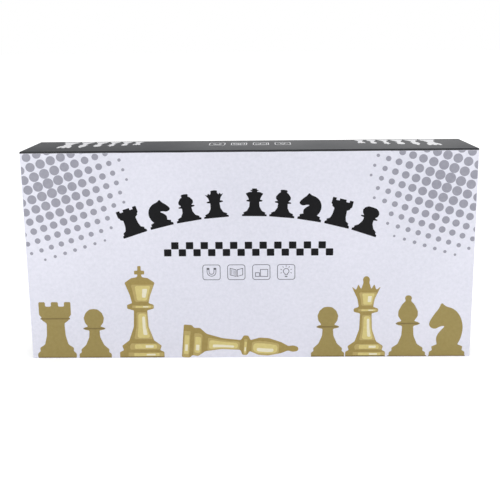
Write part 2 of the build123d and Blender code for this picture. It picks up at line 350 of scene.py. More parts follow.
def ink_beyond(material, axis, edge, softness, ink):
    """Covers a finish with ink beyond a place along an axis, with a slightly uneven line there."""
    tree = material.node_tree
    coordinates = object_coordinates(tree)
    split = tree.nodes.new("ShaderNodeSeparateXYZ")
    tree.links.new(coordinates, split.inputs[0])
    wobble = math_node(tree, "MULTIPLY", noise(tree, coordinates, 60.0), softness)
    place = math_node(tree, "ADD", split.outputs[axis], wobble)
    inked = math_node(tree, "GREATER_THAN", place, edge + softness / 2)
    surface = tree.nodes["Principled BSDF"].inputs["Base Color"]
    node = tree.nodes.new("ShaderNodeMix")
    node.data_type = "RGBA"
    tree.links.new(inked, node.inputs["Factor"])
    tree.links.new(surface.links[0].from_socket, node.inputs["A"])
    node.inputs["B"].default_value = ink
    tree.links.new(node.outputs["Result"], surface)


front_paper = linen_finish("linen_white_front", (223, 224, 236), (235, 235, 247), rough=0.46, specular=0.4)
ink_beyond(front_paper, "Z", CREASE_INK_Z, 0.4 * MM, display(14, 14, 17))
dark_paper = linen_finish(
    "satin_black_sides", (17, 20, 27), (27, 31, 40), rough=0.45, specular=0.13, spread=0.05, strength=0.3
)
inner_paper = liner_finish("board_liner")
ink_beyond(inner_paper, "Y", TURN_IN_Y, 0.6 * MM, display(34, 34, 38))
plain_liner = liner_finish("tray_liner")
print("paper finishes", front_paper.name, dark_paper.name, inner_paper.name, plain_liner.name)

# %% [markdown]
# ## A rigid box
# The lid and the base are the same thing: a board blank, creased and folded into a tray. It could be
# modelled as five boards, but the paper goes round the creases in one piece. By hand it is a cube at its
# size with one face taken away, its outer creases rounded by an edge bevel, and a board's thickness
# given inwards by Solidify. The bevel comes first, so that the wall keeps its thickness round the
# creases.


# %% Making an open box
BOARD_THICKNESS = 1.5 * MM
CREASE_RADIUS = 0.7 * MM
CREASE_ANGLE = math.radians(35)
BOX_SIDES = 5
FRONT_SHEET = 0
SIDE_SHEET = 1
INNER_SHEET = 2


def open_box(name, low, high, open_side):
    """A tray between two corners, open towards open_side along Y, with rounded creases."""
    middle = (low + high) / 2
    bpy.ops.object.select_all(action="DESELECT")
    bpy.ops.mesh.primitive_cube_add(size=1, location=middle)
    box = bpy.context.active_object
    box.name = name
    box.data.name = name
    box.scale = high - low
    bake_place(box)
    pick(box, "polygons", lambda face: face.normal.y * open_side > 0.5)
    bpy.ops.mesh.delete(type="FACE")
    rim_y = high.y if open_side > 0 else low.y

    def is_crease(edge):
        return any(abs(box.data.vertices[index].co.y - rim_y) >= 1e-6 for index in edge.vertices)

    pick(box, "edges", is_crease)
    bpy.ops.mesh.bevel(offset=CREASE_RADIUS, segments=4, profile=0.5)
    bpy.ops.mesh.select_all(action="SELECT")
    bpy.ops.mesh.normals_make_consistent(inside=False)
    bpy.ops.object.mode_set(mode="OBJECT")
    if sum((face.center - middle).dot(face.normal) > 0 for face in box.data.polygons) < BOX_SIDES:
        bpy.ops.object.mode_set(mode="EDIT")
        bpy.ops.mesh.flip_normals()
        bpy.ops.object.mode_set(mode="OBJECT")
    apply_modifier(box, "SOLIDIFY", thickness=BOARD_THICKNESS, offset=-1, use_even_offset=True)
    return box


def sort_faces(box, low, high, closed_y):
    """Gives each face of an open box the slot of the sheet that covers it."""
    depth = 0.5 * BOARD_THICKNESS
    for face in box.data.polygons:
        centre, normal = face.center, face.normal
        on_closed_side = abs(centre.y - closed_y) < depth
        outside = (
            on_closed_side
            or centre.x < low.x + depth
            or centre.x > high.x - depth
            or centre.z < low.z + depth
            or centre.z > high.z - depth
        )
        if not outside:
            face.material_index = INNER_SHEET
        elif on_closed_side and abs(normal.y) > 0.2 and normal.z <= 0.3:
            face.material_index = FRONT_SHEET
        else:
            face.material_index = SIDE_SHEET


def cover_box(box, low, high, closed_y, inner):
    """Covers an open box with its three papers and smooths its creases."""
    for finish in (front_paper, dark_paper, inner):
        box.data.materials.append(finish)
    sort_faces(box, low, high, closed_y)
    select_only(box)
    bpy.ops.object.shade_smooth_by_angle(angle=CREASE_ANGLE)


# %% [markdown]
# ## The lid
# The lid takes its size from the frame. A thumb notch is cut through the rim of each end. It could be
# drawn into the outline of the board before it is folded, but a Boolean with a turned rod cuts both
# ends at once, as a punch does. Its faces are then sorted by where they lie: front, sides, inside.

# %% The printed lid
NOTCH_RADIUS = 12 * MM
PUNCH_OVERSHOOT = 1.1

lid_low, lid_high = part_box("lid_shell")
lid_middle = (lid_low + lid_high) / 2
printed_lid = open_box("printed_lid", lid_low, lid_high, 1)
bpy.ops.object.select_all(action="DESELECT")
bpy.ops.mesh.primitive_cylinder_add(
    vertices=64,
    radius=NOTCH_RADIUS,
    depth=(lid_high.x - lid_low.x) * PUNCH_OVERSHOOT,
    location=(lid_middle.x, lid_high.y, lid_middle.z),
    rotation=(0, math.radians(90), 0),
)
punch = bpy.context.active_object
bake_place(punch)
apply_modifier(printed_lid, "BOOLEAN", operation="DIFFERENCE", object=punch, solver="EXACT")
bpy.data.objects.remove(punch)
cover_box(printed_lid, lid_low, lid_high, lid_low.y, inner_paper)
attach(printed_lid, "lid")
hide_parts("lid_shell")
print("lid", len(printed_lid.data.polygons), "faces")

# %% [markdown]
# ## The base
# The base is shallower and slides inside the lid. It is the same box with its open side turned towards
# the viewer. Its back is covered with the same white paper as the front, left plain, and its walls with
# the dark one.

# %% The base tray
base_low, base_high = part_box("base_tray")
base_box = open_box("wrapped_base", base_low, base_high, -1)
cover_box(base_box, base_low, base_high, base_high.y, plain_liner)
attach(base_box, "base")
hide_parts("base_tray")
print("base", len(base_box.data.polygons), "faces")

# %% [markdown]
# ## Printing on the carton
# The print could be an image or a mask in the paper's material. Here it is modelled as ink: sheets a
# twentieth of a millimetre thick that lie on the paper, in layers where one colour is printed over
# another, so that their outlines stay sharp at any distance. Each shape starts as a filled disc with as
# many corners as its outline has, whose corners are then drawn out to the outline. A bevel of the
# corners alone rounds them, and Solidify gives the ink its thickness.

# %% Laying out a sheet of ink
INK = 0.05 * MM
LAYER_FILL = 0.98


def on_front(u, v, layer=1):
    """A place on the front: u runs right from the middle, v up from the lower edge, in mm."""
    return Vector((u * MM, lid_low.y - layer * INK, lid_low.z + v * MM))


def on_top(u, v, layer=1):
    """A place on the top: u runs right from the middle, v away from the viewer, in mm."""
    return Vector((u * MM, v * MM, lid_high.z + layer * INK))


def outline_sheet(points, place, layer=1, rounding=0.0, segments=3):
    """A flat filled shape with these corners, laid on a face, with its corners rounded."""
    area = sum(a[0] * b[1] - b[0] * a[1] for a, b in zip(points, points[1:] + points[:1]))
    ordered = points if area > 0 else points[::-1]
    bpy.ops.object.select_all(action="DESELECT")
    bpy.ops.mesh.primitive_circle_add(vertices=len(points), radius=1, fill_type="NGON")
    shape = bpy.context.active_object
    corners = [shape.data.vertices[index] for index in shape.data.polygons[0].vertices]
    for corner, (u, v) in zip(corners, ordered):
        corner.co = place(u, v, layer)
    if rounding:
        bpy.ops.object.mode_set(mode="EDIT")
        bpy.ops.mesh.select_all(action="SELECT")
        bpy.ops.mesh.bevel(offset=rounding * MM, segments=segments, affect="VERTICES", clamp_overlap=True)
        bpy.ops.object.mode_set(mode="OBJECT")
    return shape


def hollow(shape, width):
    """Leaves only a line of this width, in mm, round a flat shape."""
    select_only(shape)
    bpy.ops.object.mode_set(mode="EDIT")
    bpy.ops.mesh.select_all(action="SELECT")
    bpy.ops.mesh.inset(thickness=width * MM, depth=0)
    bpy.ops.mesh.delete(type="FACE")
    bpy.ops.object.mode_set(mode="OBJECT")
    return shape


def print_sheets(name, shapes, ink):
    """Joins flat shapes into one print, gives it the thickness of ink and lays it on the lid."""
    whole = join(name, shapes)
    whole.data.materials.clear()
    whole.data.materials.append(ink)
    apply_modifier(whole, "SOLIDIFY", thickness=INK * LAYER_FILL, offset=-1)
    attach(whole, "lid")
    print(name, len(whole.data.polygons), "faces")


dot_ink = linen_finish("halftone_grey_ink", (150, 150, 163), (162, 162, 174))
black_ink = linen_finish("heading_black_ink", (7, 7, 10), (14, 14, 18), rough=0.55, specular=0.15)
line_ink = linen_finish("icon_grey_ink", (74, 76, 86), (86, 88, 98))
gold_ink = linen_finish("flat_gold_ink", (150, 133, 76), (160, 143, 86))
shade_ink = linen_finish("gold_shadow_ink", (124, 106, 58), (134, 116, 66))
body_ink = linen_finish("gold_body_ink", (154, 134, 74), (166, 146, 84))
middle_ink = linen_finish("middle_gold_ink", (180, 160, 98), (190, 171, 110))
light_ink = linen_finish("light_gold_ink", (209, 193, 122), (219, 205, 138))
cream_ink = linen_finish("cream_ink", (232, 226, 198), (240, 235, 212))
white_ink = linen_finish("white_ink_on_black", (238, 238, 242), (248, 248, 251))
print("inks", [material.name for material in bpy.data.materials if material.name.endswith("ink")])

# %% [markdown]
# ## Halftone corners
# In both upper corners the grey dots of a coarse halftone grow towards the corner. An Array modifier
# would give one size of dot only, so each is laid by itself: the dots stand on a slanted lattice, and
# their radius falls off with the distance from the biggest one. The dots that cross the edge of the
# print are cut there by a bisect, and none is laid where the arch of men ends.

# %% Two clusters of halftone dots
DOT_CENTRES = {"right": (182.6, 173.4), "left": (-182.9, 171.0)}
LATTICE = ((9.39, -3.04), (-3.04, -9.05))
LATTICE_REACH = range(-9, 10)
DOT_SIZES = ((0, 4.9), (14, 4.5), (31, 3.95), (50, 3.05), (62, 2.3), (70, 1.45), (76, 0.9))
SMALLEST_DOT = 1.1
HEADING_END = (109.0, 134.0)
HEADING_CLEAR = 17.5
HALF_PRINT = (lid_high.x - lid_low.x) / MM / 2 - 0.8
PRINT_TOP = (lid_high.z - lid_low.z) / MM - 1.9


def dot_radius(distance):
    """The dot's radius, read between the measured steps."""
    for (near, big), (far, small) in zip(DOT_SIZES, DOT_SIZES[1:]):
        if distance <= far:
            return big + (small - big) * (distance - near) / (far - near)
    return 0.0


def cut_sheet(item, point, normal):
    """Cuts a flat piece along a plane and drops what lies beyond it."""
    select_only(item)
    bpy.ops.object.mode_set(mode="EDIT")
    bpy.ops.mesh.select_all(action="SELECT")
    bpy.ops.mesh.bisect(plane_co=point, plane_no=normal, clear_outer=True)
    bpy.ops.object.mode_set(mode="OBJECT")


for side_name, mirrored in (("right", 1), ("left", -1)):
    centre_u, centre_v = DOT_CENTRES[side_name]
    dots = []
    for first in LATTICE_REACH:
        for second in LATTICE_REACH:
            u = centre_u + mirrored * (first * LATTICE[0][0] + second * LATTICE[1][0])
            v = centre_v + first * LATTICE[0][1] + second * LATTICE[1][1]
            radius = dot_radius(math.hypot(u - centre_u, v - centre_v))
            if radius < SMALLEST_DOT or abs(u) > HALF_PRINT + radius or v > PRINT_TOP + radius:
                continue
            if math.hypot(abs(u) - HEADING_END[0], v - HEADING_END[1]) < HEADING_CLEAR:
                continue
            bpy.ops.object.select_all(action="DESELECT")
            bpy.ops.mesh.primitive_circle_add(
                vertices=20,
                radius=radius * MM,
                fill_type="NGON",
                location=on_front(u, v),
                rotation=(math.radians(90), 0, 0),
            )
            dots.append(bpy.context.active_object)
    cluster = join(f"halftone_{side_name}", dots)
    bake_place(cluster)
    cut_sheet(cluster, (mirrored * HALF_PRINT * MM, 0, 0), (mirrored, 0, 0))
    cut_sheet(cluster, (0, 0, lid_low.z + PRINT_TOP * MM), (0, 0, 1))
    print_sheets(f"halftone_{side_name}", [cluster], dot_ink)

# %% [markdown]
# ## Profiles of the men
# Every printed figure but the knight is a turned shape, so half its outline is enough: width and height
# from the foot up, in hundredths of the figure's height. The other half is its mirror image. The
# knight's whole outline is given with few corners, and cutting them twice makes its neck and head flow.

# %% Half outlines, from the foot up
PROFILES = {
    "pawn": [(32, 0), (32, 8), (27, 11), (28, 17), (18, 26), (11, 42), (10, 56), (20, 58), (20, 62),
             (12, 64), (18, 72), (20, 82), (16, 92), (8, 99), (0, 100)],
    "rook": [(33, 0), (33, 8), (28, 12), (29, 18), (20, 24), (16, 40), (15, 62), (23, 68), (23, 73),
             (27, 77), (27, 100), (16, 100), (16, 92), (6, 92), (6, 100), (0, 100)],
    "bishop": [(30, 0), (30, 7), (25, 9), (26, 14), (16, 20), (10, 34), (9, 50), (18, 52), (18, 56),
               (10, 58), (16, 66), (16, 74), (10, 85), (4, 91), (6, 95), (4, 99), (0, 100)],
    "queen": [(28, 0), (28, 6), (23, 8), (25, 13), (15, 19), (9, 34), (8, 54), (17, 56), (17, 60),
              (10, 62), (12, 72), (20, 87), (14, 83), (11, 90), (7, 84), (4, 92), (5, 96), (3, 99), (0, 100)],
    "king": [(27, 0), (27, 6), (22, 8), (24, 13), (15, 19), (9, 34), (8, 52), (16, 54), (16, 58),
             (10, 60), (12, 68), (18, 82), (10, 87), (3, 88), (2, 91), (6, 91), (6, 95), (2, 95),
             (2, 100), (0, 100)],
}
KNIGHT = [(-31, 0), (31, 0), (31, 8), (26, 11), (27, 18), (18, 22), (20, 36), (12, 48), (4, 56), (12, 56),
          (22, 50), (31, 54), (33, 62), (24, 78), (16, 88), (12, 100), (5, 92), (-10, 88), (-22, 74),
          (-27, 54), (-24, 34), (-18, 22), (-27, 18), (-26, 11), (-31, 8)]
KNIGHT_NECK = 24


def softened(points, keep_below):
    """Cuts the corners of a closed outline at a quarter of each side, but for those low down."""
    cut = []
    for index, (u, v) in enumerate(points):
        if v < keep_below:
            cut.append((u, v))
            continue
        for near_u, near_v in (points[index - 1], points[(index + 1) % len(points)]):
            cut.append((u * 0.75 + near_u * 0.25, v * 0.75 + near_v * 0.25))
    return cut


def turned(points, turn, at):
    """Points turned about the origin and then moved."""
    cosine, sine = math.cos(turn), math.sin(turn)
    return [(at[0] + u * cosine - v * sine, at[1] + u * sine + v * cosine) for u, v in points]


def placed(unit, height, turn, at, widen):
    """Points in hundredths of a figure's height, scaled to mm, turned about its foot and moved."""
    scale = height / 100
    return turned([(u * scale * widen, v * scale) for u, v in unit], turn, at)


def figure_points(kind, height, turn=0.0, at=(0, 0), widen=1.0, mirrored=1, weight=0):
    """A figure's whole outline in mm, at its place; weight makes it bolder."""
    if kind == "knight":
        unit = softened(softened(KNIGHT, KNIGHT_NECK), KNIGHT_NECK)
    else:
        half = [(u + weight if u else 0, v) for u, v in PROFILES[kind]]
        unit = half + [(-u, v) for u, v in reversed(half) if u > 0]
    return placed(unit, height, turn, at, widen * mirrored)


print("profiles", {kind: len(points) for kind, points in PROFILES.items()})

# %% [markdown]
# ## An arch and a strip
# The weight of the front lies in a black arch across its upper middle, with a shorter strip under it.
# The arch is made of nine small men, four and five of them, each leaning with the arch, and the strip
# is two rows of chequers. Bending one straight row with a modifier would stretch the outer men, so
# each man is placed and turned by itself.

# %% An arch of nine men over a strip of chequers
ARCH_RADIUS = 342.0
ARCH_TOP = 152.0
ARCH_REACH = 109.0
HEADING_HEIGHT = 26.0
GROUP_GAP = 10.0
FIRST_GROUP = 4
FACING_RIGHT = 5
HEADING_MEN = ["rook", "knight", "bishop", "queen", "king", "bishop", "knight", "rook", "pawn"]
STOUTNESS = {"rook": 1.2, "knight": 1.35, "bishop": 1.3, "queen": 1.36, "king": 1.4, "pawn": 1.26}
HEADING_WEIGHT = 4

spacing = (2 * ARCH_REACH - GROUP_GAP) / (len(HEADING_MEN) - 1)
heading = []
for index, kind in enumerate(HEADING_MEN):
    along_arch = -ARCH_REACH + index * spacing + (GROUP_GAP if index >= FIRST_GROUP else 0)
    lean = -math.asin(along_arch / ARCH_RADIUS)
    middle = (along_arch, ARCH_TOP - ARCH_RADIUS * (1 - math.cos(lean)))
    foot = (
        middle[0] + math.sin(lean) * HEADING_HEIGHT / 2,
        middle[1] - math.cos(lean) * HEADING_HEIGHT / 2,
    )
    facing = -1 if index >= FACING_RIGHT else 1
    outline = figure_points(kind, HEADING_HEIGHT, lean, foot, STOUTNESS[kind], facing, HEADING_WEIGHT)
    heading.append(outline_sheet(outline, on_front, rounding=0.35))
print_sheets("heading_arch_of_men", heading, black_ink)

CHEQUER = 6.8
CHEQUER_COLUMNS = 23
STRIP_BASE = 101.0
STRIP_SHIFT = -0.9
strip = []
for column in range(CHEQUER_COLUMNS):
    for row in range(2):
        if (column + row) % 2 == 0:
            left = STRIP_SHIFT + (column - CHEQUER_COLUMNS / 2) * CHEQUER
            low = STRIP_BASE + row * CHEQUER
            right = left + CHEQUER
            high = low + CHEQUER
            square = [(left, low), (right, low), (right, high), (left, high)]
            strip.append(outline_sheet(square, on_front, rounding=0.5))
print_sheets("heading_chequer_strip", strip, black_ink)

# %% [markdown]
# ## Four line icons
# Under the strip stand four small rounded frames with pictures of what the set can do: a magnet, a
# board that folds, two sizes of square, and a lamp. A line could be a curve with a bevel, but that gives
# it a round section. Here each line is a filled shape whose inside an inset takes away, and bars are
# thin rectangles, so both lie flat like the rest of the ink.

# %% Icon parts
ICON_WIDTH = 16.7
ICON_HEIGHT = 15.0
FRAME_ROUNDING = 2.6
LINE = 0.55
ICON_ROW = 85.2


def turned_rectangle(width, height, at, turn=0.0):
    """The corners of a rectangle about its middle, in mm."""
    half_u, half_v = width / 2, height / 2
    corners = [(-half_u, -half_v), (half_u, -half_v), (half_u, half_v), (-half_u, half_v)]
    return turned(corners, turn, at)


def arc_points(radius, start, end, count, at):
    """Points along an arc, in mm; the angles are in degrees."""
    angles = [math.radians(start + (end - start) * step / (count - 1)) for step in range(count)]
    return [(at[0] + radius * math.cos(angle), at[1] + radius * math.sin(angle)) for angle in angles]


def icon_shapes(kind, at, place, line=LINE, size=1.0):
    """The frame and the picture of one icon."""
    shapes = []

    def moved(points):
        return [(at[0] + u * size, at[1] + v * size) for u, v in points]

    def add_line(points, **corners):
        shapes.append(hollow(outline_sheet(moved(points), place, **corners), line))

    def add_mark(*rectangle):
        shapes.append(outline_sheet(moved(turned_rectangle(*rectangle)), place))

    add_line(turned_rectangle(ICON_WIDTH, ICON_HEIGHT, (0, 0)), rounding=FRAME_ROUNDING * size, segments=5)
    if kind == "magnet":
        bow = arc_points(4.4, 0, -180, 13, (0, 0.4)) + [(-4.4, 4.2), (-2.0, 4.2)]
        bow += arc_points(2.0, 180, 360, 9, (0, 0.4)) + [(2.0, 4.2), (4.4, 4.2)]
        add_line(bow)
        for u in (-3.2, 3.2):
            add_mark(2.4, 1.6, (u, 3.4))
    elif kind == "fold":
        add_line([(-6.0, -2.8), (0, -4.4), (0, 2.6), (-6.0, 4.2)])
        add_line([(0.6, -4.4), (6.2, -2.8), (6.2, 4.2), (0.6, 2.6)])
        for u in (-4.5, -3.0, -1.5):
            add_mark(0.35, 4.6, (u, -0.1 + 0.27 * (-3.0 - u)))
    elif kind == "sizes":
        add_line(turned_rectangle(4.2, 4.2, (-3.6, -2.4)))
        add_line(turned_rectangle(7.4, 7.4, (2.6, -0.8)))
    else:
        add_line(arc_points(2.9, -60, 240, 17, (0, 0.8)) + [(-1.2, -3.0), (1.2, -3.0)])
        add_mark(2.4, 0.9, (0, -4.4))
        for degrees in (-20, 20, 55, 90, 125, 160, 200):
            angle = math.radians(degrees)
            add_mark(1.6, 0.45, (4.9 * math.cos(angle), 0.8 + 4.9 * math.sin(angle)), angle)
    return shapes


ICON_PLACES = {"magnet": -35.5, "fold": -12.4, "sizes": 10.8, "lamp": 33.9}
icons = []
for kind, u in ICON_PLACES.items():
    icons += icon_shapes(kind, (u, ICON_ROW), on_front)
print_sheets("front_icons", icons, line_ink)

# %% [markdown]
# ## The row of men along the foot
# Along the lower edge stands a row of men in flat gold, and three larger ones are drawn with light and
# shade. A gradient in one material would need the figure's own coordinates, so those are printed in
# layers, as a screen print is: a dark body, lighter panels moved to one side, and cream highlights on
# top. The panels follow the body's own profile, so they bulge where it does.

# %% Flat men and their dark lines
FOOT_V = 0.8
FOOT_LINE = 1.0
FOOT_SHARE = 0.64
COLLAR_LINE = 1.5
FLAT_MEN = [
    ("rook", -184.0, 56.0, 1.0, 1),
    ("pawn", -147.5, 49.0, 0.98, 1),
    ("pawn", 73.0, 50.0, 0.98, 1),
    ("bishop", 148.0, 61.0, 0.94, 1),
    ("knight", 185.5, 54.0, 1.0, -1),
]
FLAT_COLLARS = {"pawn": (60.0, 21.5), "bishop": (54.0, 19.5), "rook": (70.5, 25.0)}


def foot_line(u, width):
    """A dark line along the foot of one man."""
    bar = turned_rectangle(width, FOOT_LINE, (u, FOOT_V + FOOT_LINE / 2))
    return outline_sheet(bar, on_front, layer=2)


flat_men = []
foot_lines = []
for kind, u, height, widen, facing in FLAT_MEN:
    outline = figure_points(kind, height, at=(u, FOOT_V), widen=widen, mirrored=facing)
    flat_men.append(outline_sheet(outline, on_front, rounding=1.2))
    foot_lines.append(foot_line(u, FOOT_SHARE * height * widen))
    if kind in FLAT_COLLARS:
        level, half_width = FLAT_COLLARS[kind]
        width = 2 * half_width * height / 100 * widen
        bar = turned_rectangle(width, COLLAR_LINE, (u, FOOT_V + level * height / 100))
        foot_lines.append(outline_sheet(bar, on_front, layer=2, rounding=0.7))
print_sheets("flat_gold_men", flat_men, gold_ink)

# %% Shaded men in four layers
PANELS = {
    "king": [(0.8, 5.4), (8.8, 15.6), (20.5, 50), (54.6, 57.4), (61.5, 80)],
    "queen": [(0.8, 5.4), (8.8, 15.6), (20.5, 52), (56.6, 59.4), (63.5, 80)],
    "bishop": [(0.8, 6.2), (9.6, 16.6), (21.5, 49), (52.8, 55.4), (59.5, 83)],
}
SHADED_MEN = [
    ("king", (-103.0, FOOT_V), 91.0, 0.86, 0.0),
    ("queen", (108.5, FOOT_V), 80.0, 0.84, 0.0),
    ("bishop", (-64.0, 17.4), 110.0, 0.50, math.radians(-94.6)),
]
TALL_PANEL = 12
FIRST_SHADE_LAYER = 2
# For each shade: its left and right limit as shares of the half width, how far it stays inside a tall
# panel, and inside a low one as a share of its height, the rounding in both, and the corner's segments.
SHADES = [
    ("shaded_men_middle", middle_ink, -0.62, 0.97, 0.0, 0.0, 1.6, 0.8, 3),
    ("shaded_men_light", light_ink, -0.36, 0.78, 1.3, 0.14, 2.4, 1.0, 3),
    ("shaded_men_highlights", cream_ink, 0.2, 0.6, 4.5, 0.3, 1.8, 1.8, 4),
]


def width_at(kind, level):
    """The widest half width of a profile at a level, both in hundredths of its height."""
    widths = []
    half = PROFILES[kind]
    for (u_low, v_low), (u_high, v_high) in zip(half, half[1:]):
        if min(v_low, v_high) <= level <= max(v_low, v_high) and v_low != v_high:
            widths.append(u_low + (u_high - u_low) * (level - v_low) / (v_high - v_low))
    return max(widths)


def panel_points(kind, low, high, left, right):
    """A panel inside a profile, from one level to another; left and right are shares of its half width."""
    levels = [low + (high - low) * step / 4 for step in range(5)]
    right_side = [(right * width_at(kind, level), level) for level in levels]
    left_side = [(left * width_at(kind, level), level) for level in reversed(levels)]
    return right_side + left_side


bodies = []
shade_sheets = [[] for _ in SHADES]
for kind, at, height, widen, turn in SHADED_MEN:
    bodies.append(outline_sheet(figure_points(kind, height, turn, at, widen), on_front, rounding=1.3))
    for low, high in PANELS[kind]:
        tall = high - low > TALL_PANEL
        for index, shade in enumerate(SHADES):
            left, right, tall_inset, low_inset, tall_rounding, low_rounding, segments = shade[2:]
            inset = tall_inset if tall else low_inset * (high - low)
            rounding = tall_rounding if tall else low_rounding
            panel = panel_points(kind, low + inset, high - inset, left, right)
            corners = placed(panel, height, turn, at, widen)
            layer = index + FIRST_SHADE_LAYER
            shade_sheets[index].append(outline_sheet(corners, on_front, layer, rounding, segments))
    if turn == 0:
        foot_lines.append(foot_line(at[0], 2 * width_at(kind, 0.5) * height / 100 * widen))
print_sheets("shaded_men_bodies", bodies, body_ink)
for shade, sheets in zip(SHADES, shade_sheets):
    print_sheets(shade[0], sheets, shade[1])
print_sheets("men_foot_lines", foot_lines, shade_ink)

# %% [markdown]
# ## White print on the black side
# On the top side, each end carries six white men that shrink towards the middle, with their feet at the
# far crease, and the four icons come back between them, in white lines. The same outlines serve again,
# laid on the top instead of the front.

# %% Men and icons on the top
TOP_MEN = [("rook", 174.0, 32.0), ("bishop", 158.5, 31.0), ("pawn", 144.5, 26.0), ("queen", 131.5, 25.5),
           ("pawn", 119.5, 21.0), ("rook", 108.0, 18.0)]
TOP_FOOT_V = 23.5
TOP_WIDEN = 0.72
TOP_ICON_START = -30.2
TOP_ICON_STEP = 20.9
TOP_ICON_V = 6.5

white_men = []
for mirrored in (-1, 1):
    for kind, u, height in TOP_MEN:
        outline = figure_points(kind, height, math.pi, (mirrored * u, TOP_FOOT_V), widen=TOP_WIDEN)
        white_men.append(outline_sheet(outline, on_top, rounding=0.4))
print_sheets("top_white_men", white_men, white_ink)

top_icons = []
for index, kind in enumerate(ICON_PLACES):
    place_on_top = (TOP_ICON_START + index * TOP_ICON_STEP, TOP_ICON_V)
    top_icons += icon_shapes(kind, place_on_top, on_top, line=0.8, size=0.92)
print_sheets("top_white_icons", top_icons, white_ink)

# %% [markdown]
# ## Grain of the board's frame
# The frame of each half is dark walnut with mitred corners, so the grain turns a right angle where two
# rails meet. Four separate materials would do it, one for each rail, but the rails are one node here. A
# mask compares how far a point is from the end and from the long edge, and picks which way the grain
# runs there.

# %% Grain that turns at the mitres
panel_low, panel_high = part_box("back_panel")
board_middle = (panel_low + panel_high) / 2
board_half = (panel_high - panel_low) / 2


def grain_along(tree, stretch, scale):
    """Noise drawn out along one axis."""
    return noise(tree, object_coordinates(tree, stretch), scale, detail=5.0, distortion=1.6)


def grain_either_way(tree, upright, squeeze, scale):
    """Grain that runs along X, or upright where the mask says so."""
    node = tree.nodes.new("ShaderNodeMix")
    tree.links.new(upright, node.inputs["Factor"])
    tree.links.new(grain_along(tree, (squeeze, 1, 1), scale), node.inputs["A"])
    tree.links.new(grain_along(tree, (1, 1, squeeze), scale), node.inputs["B"])
    return node.outputs["Result"]


framed, start, end = new_group("mitred_grain", {"Rings": 55.0}, ("Figure", "Pores", "Height"))
split = framed.nodes.new("ShaderNodeSeparateXYZ")
framed.links.new(object_coordinates(framed), split.inputs[0])
from_end = math_node(framed, "SUBTRACT", board_half.x, math_node(framed, "ABSOLUTE", split.outputs["X"]))
off_middle = math_node(framed, "SUBTRACT", split.outputs["Z"], board_middle.z)
from_edge = math_node(framed, "SUBTRACT", board_half.z, math_node(framed, "ABSOLUTE", off_middle))
upright = math_node(framed, "LESS_THAN", from_end, from_edge)
figure = grain_either_way(framed, upright, 0.14, start.outputs["Rings"])
pores = grain_either_way(framed, upright, 0.05, 1500.0)
framed.links.new(figure, end.inputs["Figure"])
framed.links.new(pores, end.inputs["Pores"])
framed.links.new(math_node(framed, "ADD", figure, pores), end.inputs["Height"])
print("frame grain", framed.name)

# %% [markdown]
# ## Grain of the squares
# The playing squares are sawn from sheets of veneer, and no two are of quite the same tone. One
# material for each square would be a lot of copies, so the column and row of a point go through a white
# noise, which shifts the grain and gives each square a tone of its own.

# %% Grain and tone of each square
SQUARE = 41.5 * MM

squares_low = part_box("back_steel_sheet")[0]
checked, start, end = new_group("square_grain", {"Rings": 80.0}, ("Figure", "Tone", "Height"))
split = checked.nodes.new("ShaderNodeSeparateXYZ")
checked.links.new(object_coordinates(checked), split.inputs[0])
column = math_node(checked, "FLOOR", math_node(checked, "DIVIDE", split.outputs["X"], SQUARE))
from_low = math_node(checked, "SUBTRACT", split.outputs["Z"], squares_low.z)
row = math_node(checked, "FLOOR", math_node(checked, "DIVIDE", from_low, SQUARE))
cell = checked.nodes.new("ShaderNodeCombineXYZ")
checked.links.new(column, cell.inputs["X"])
checked.links.new(row, cell.inputs["Y"])
chance = checked.nodes.new("ShaderNodeTexWhiteNoise")
checked.links.new(cell.outputs[0], chance.inputs["Vector"])
apart = checked.nodes.new("ShaderNodeVectorMath")
apart.operation = "ADD"
checked.links.new(object_coordinates(checked, (1, 1, 0.12)), apart.inputs[0])
checked.links.new(chance.outputs["Color"], apart.inputs[1])
veneer = noise(checked, apart.outputs[0], start.outputs["Rings"], detail=6.0, distortion=1.2)
checked.links.new(veneer, end.inputs["Figure"])
checked.links.new(chance.outputs["Value"], end.inputs["Tone"])
checked.links.new(grain_along(checked, (1, 1, 0.05), 1400.0), end.inputs["Height"])
print("square grain", checked.name)

# %% [markdown]
# ## Woods of the board
# The frame is oiled, so its gloss is low and its pores show as dark ticks. The squares are sanded flat
# and waxed, with a little more gloss. The frame's solids have the right shape already, so they keep
# their own meshes, and only get a finish.


# %% Wood finishes
def dress(finish, *names):
    """Gives CAD nodes a finish of their own."""
    for name in names:
        node = frame["nodes"][name]
        node.data.materials.clear()
        node.data.materials.append(finish)


def frame_wood(name, dark, light):
    """Oiled wood whose grain turns at the mitres."""
    finish, tree, shader = start_finish(name, Specular_IOR_Level=0.4, Coat_Weight=0.15)
    wood = use_group(tree, framed)
    tone = ramp(tree, wood.outputs["Figure"], [(0.32, display(*dark)), (0.66, display(*light))])
    ticks = ramp(tree, wood.outputs["Pores"], [(0.34, (0.35, 0.3, 0.28, 1)), (0.46, (1, 1, 1, 1))])
    tree.links.new(multiplied(tree, tone, ticks, 0.7), shader.inputs["Base Color"])
    wear_as_roughness(tree, shader, wood.outputs["Figure"], 0.36, 0.5)
    add_bump(tree, shader, wood.outputs["Height"], 0.25, 0.15 * MM)
    return finish


